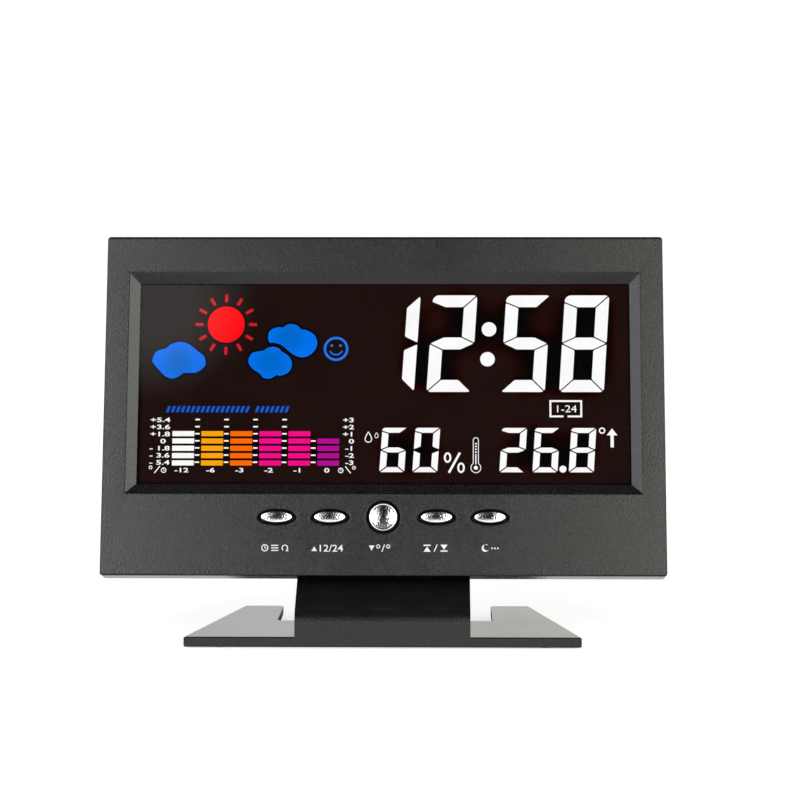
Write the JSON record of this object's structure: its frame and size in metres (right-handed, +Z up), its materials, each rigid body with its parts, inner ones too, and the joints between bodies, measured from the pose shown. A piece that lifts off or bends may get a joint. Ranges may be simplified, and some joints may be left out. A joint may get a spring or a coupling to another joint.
{
  "type": "digital clock",
  "caption": "Desk digital clock: a slim tilted head with a wide colour display and a row of chromed keys, on a bent U-shaped stand.",
  "frame": {"origin": "on the table, under the middle of the stand", "axes": "+X to the right seen from the front, +Z up, and the face looks towards -Y, leaning back 14.3 degrees"},
  "size_m": [0.175, 0.066, 0.1256],
  "materials": {
    "black_plastic": "charcoal ABS with a fine satin grain",
    "stand_plastic": "black ABS, polished on top",
    "clear_plastic": "clear polished acrylic",
    "display_glass": "dark polarised display glass",
    "diffuser_plastic": "milky acrylic",
    "white_plastic": "moulded white",
    "chrome": "bright chromed plastic",
    "board": "green solder mask",
    "component": "black moulded",
    "rubber": "matt black",
    "steel": "nickel plated",
    "cell_jacket": "plain printed jacket"
  },
  "bodies": {
    "housing": {"front_bezel": "black_plastic", "display_window": "clear_plastic", "lcd_panel": "display_glass", "lcd_contact_strip": "rubber", "display_frame": "white_plastic", "light_guide": "diffuser_plastic", "backlight_led_1": "white_plastic", "backlight_led_2": "white_plastic", "backlight_led_3": "white_plastic", "main_board": "board", "clock_chip": "component", "clock_crystal": "steel", "tact_switch_1": "component", "tact_switch_2": "component", "tact_switch_3": "component", "tact_switch_4": "component", "tact_switch_5": "component", "buzzer": "component", "microphone": "steel", "climate_sensor": "white_plastic", "dc_jack": "component", "slide_switch_body": "steel", "rear_cover": "black_plastic", "battery_1": "cell_jacket", "battery_2": "cell_jacket", "battery_3": "cell_jacket", "contact_positive": "steel", "contact_link_lower": "steel", "contact_link_upper": "steel", "contact_negative": "steel", "case_screw_1": "steel", "case_screw_2": "steel", "case_screw_3": "steel", "case_screw_4": "steel", "board_screw_1": "steel", "board_screw_2": "steel", "board_screw_3": "steel", "board_screw_4": "steel", "stand": "stand_plastic", "rubber_foot_1": "rubber", "rubber_foot_2": "rubber", "rubber_foot_3": "rubber", "rubber_foot_4": "rubber"},
    "menu_button": {"menu_key": "chrome", "tact_plunger_1": "component"},
    "up_button": {"up_key": "chrome", "tact_plunger_2": "component"},
    "down_button": {"down_key": "chrome", "tact_plunger_3": "component"},
    "memory_button": {"memory_key": "chrome", "tact_plunger_4": "component"},
    "snooze_button": {"snooze_key": "chrome", "tact_plunger_5": "component"},
    "battery_hatch": {"battery_door": "black_plastic"},
    "light_switch": {"slide_switch_knob": "component"}
  },
  "joints": [
    {"name": "menu_key_press", "type": "slide", "parent": "housing", "child": "menu_button", "axis": [0, 0.969, -0.247], "range_m": [0, 0.0008], "stiffness_N_per_m": 800},
    {"name": "up_key_press", "type": "slide", "parent": "housing", "child": "up_button", "axis": [0, 0.969, -0.247], "range_m": [0, 0.0008], "stiffness_N_per_m": 800},
    {"name": "down_key_press", "type": "slide", "parent": "housing", "child": "down_button", "axis": [0, 0.969, -0.247], "range_m": [0, 0.0008], "stiffness_N_per_m": 800},
    {"name": "memory_key_press", "type": "slide", "parent": "housing", "child": "memory_button", "axis": [0, 0.969, -0.247], "range_m": [0, 0.0008], "stiffness_N_per_m": 800},
    {"name": "snooze_key_press", "type": "slide", "parent": "housing", "child": "snooze_button", "axis": [0, 0.969, -0.247], "range_m": [0, 0.0008], "stiffness_N_per_m": 800},
    {"name": "battery_door_slide", "type": "slide", "parent": "housing", "child": "battery_hatch", "axis": [0, -0.247, -0.969], "range_m": [0, 0.008]},
    {"name": "light_switch_slide", "type": "slide", "parent": "housing", "child": "light_switch", "axis": [1, 0, 0], "range_m": [0, 0.003]}
  ]
}
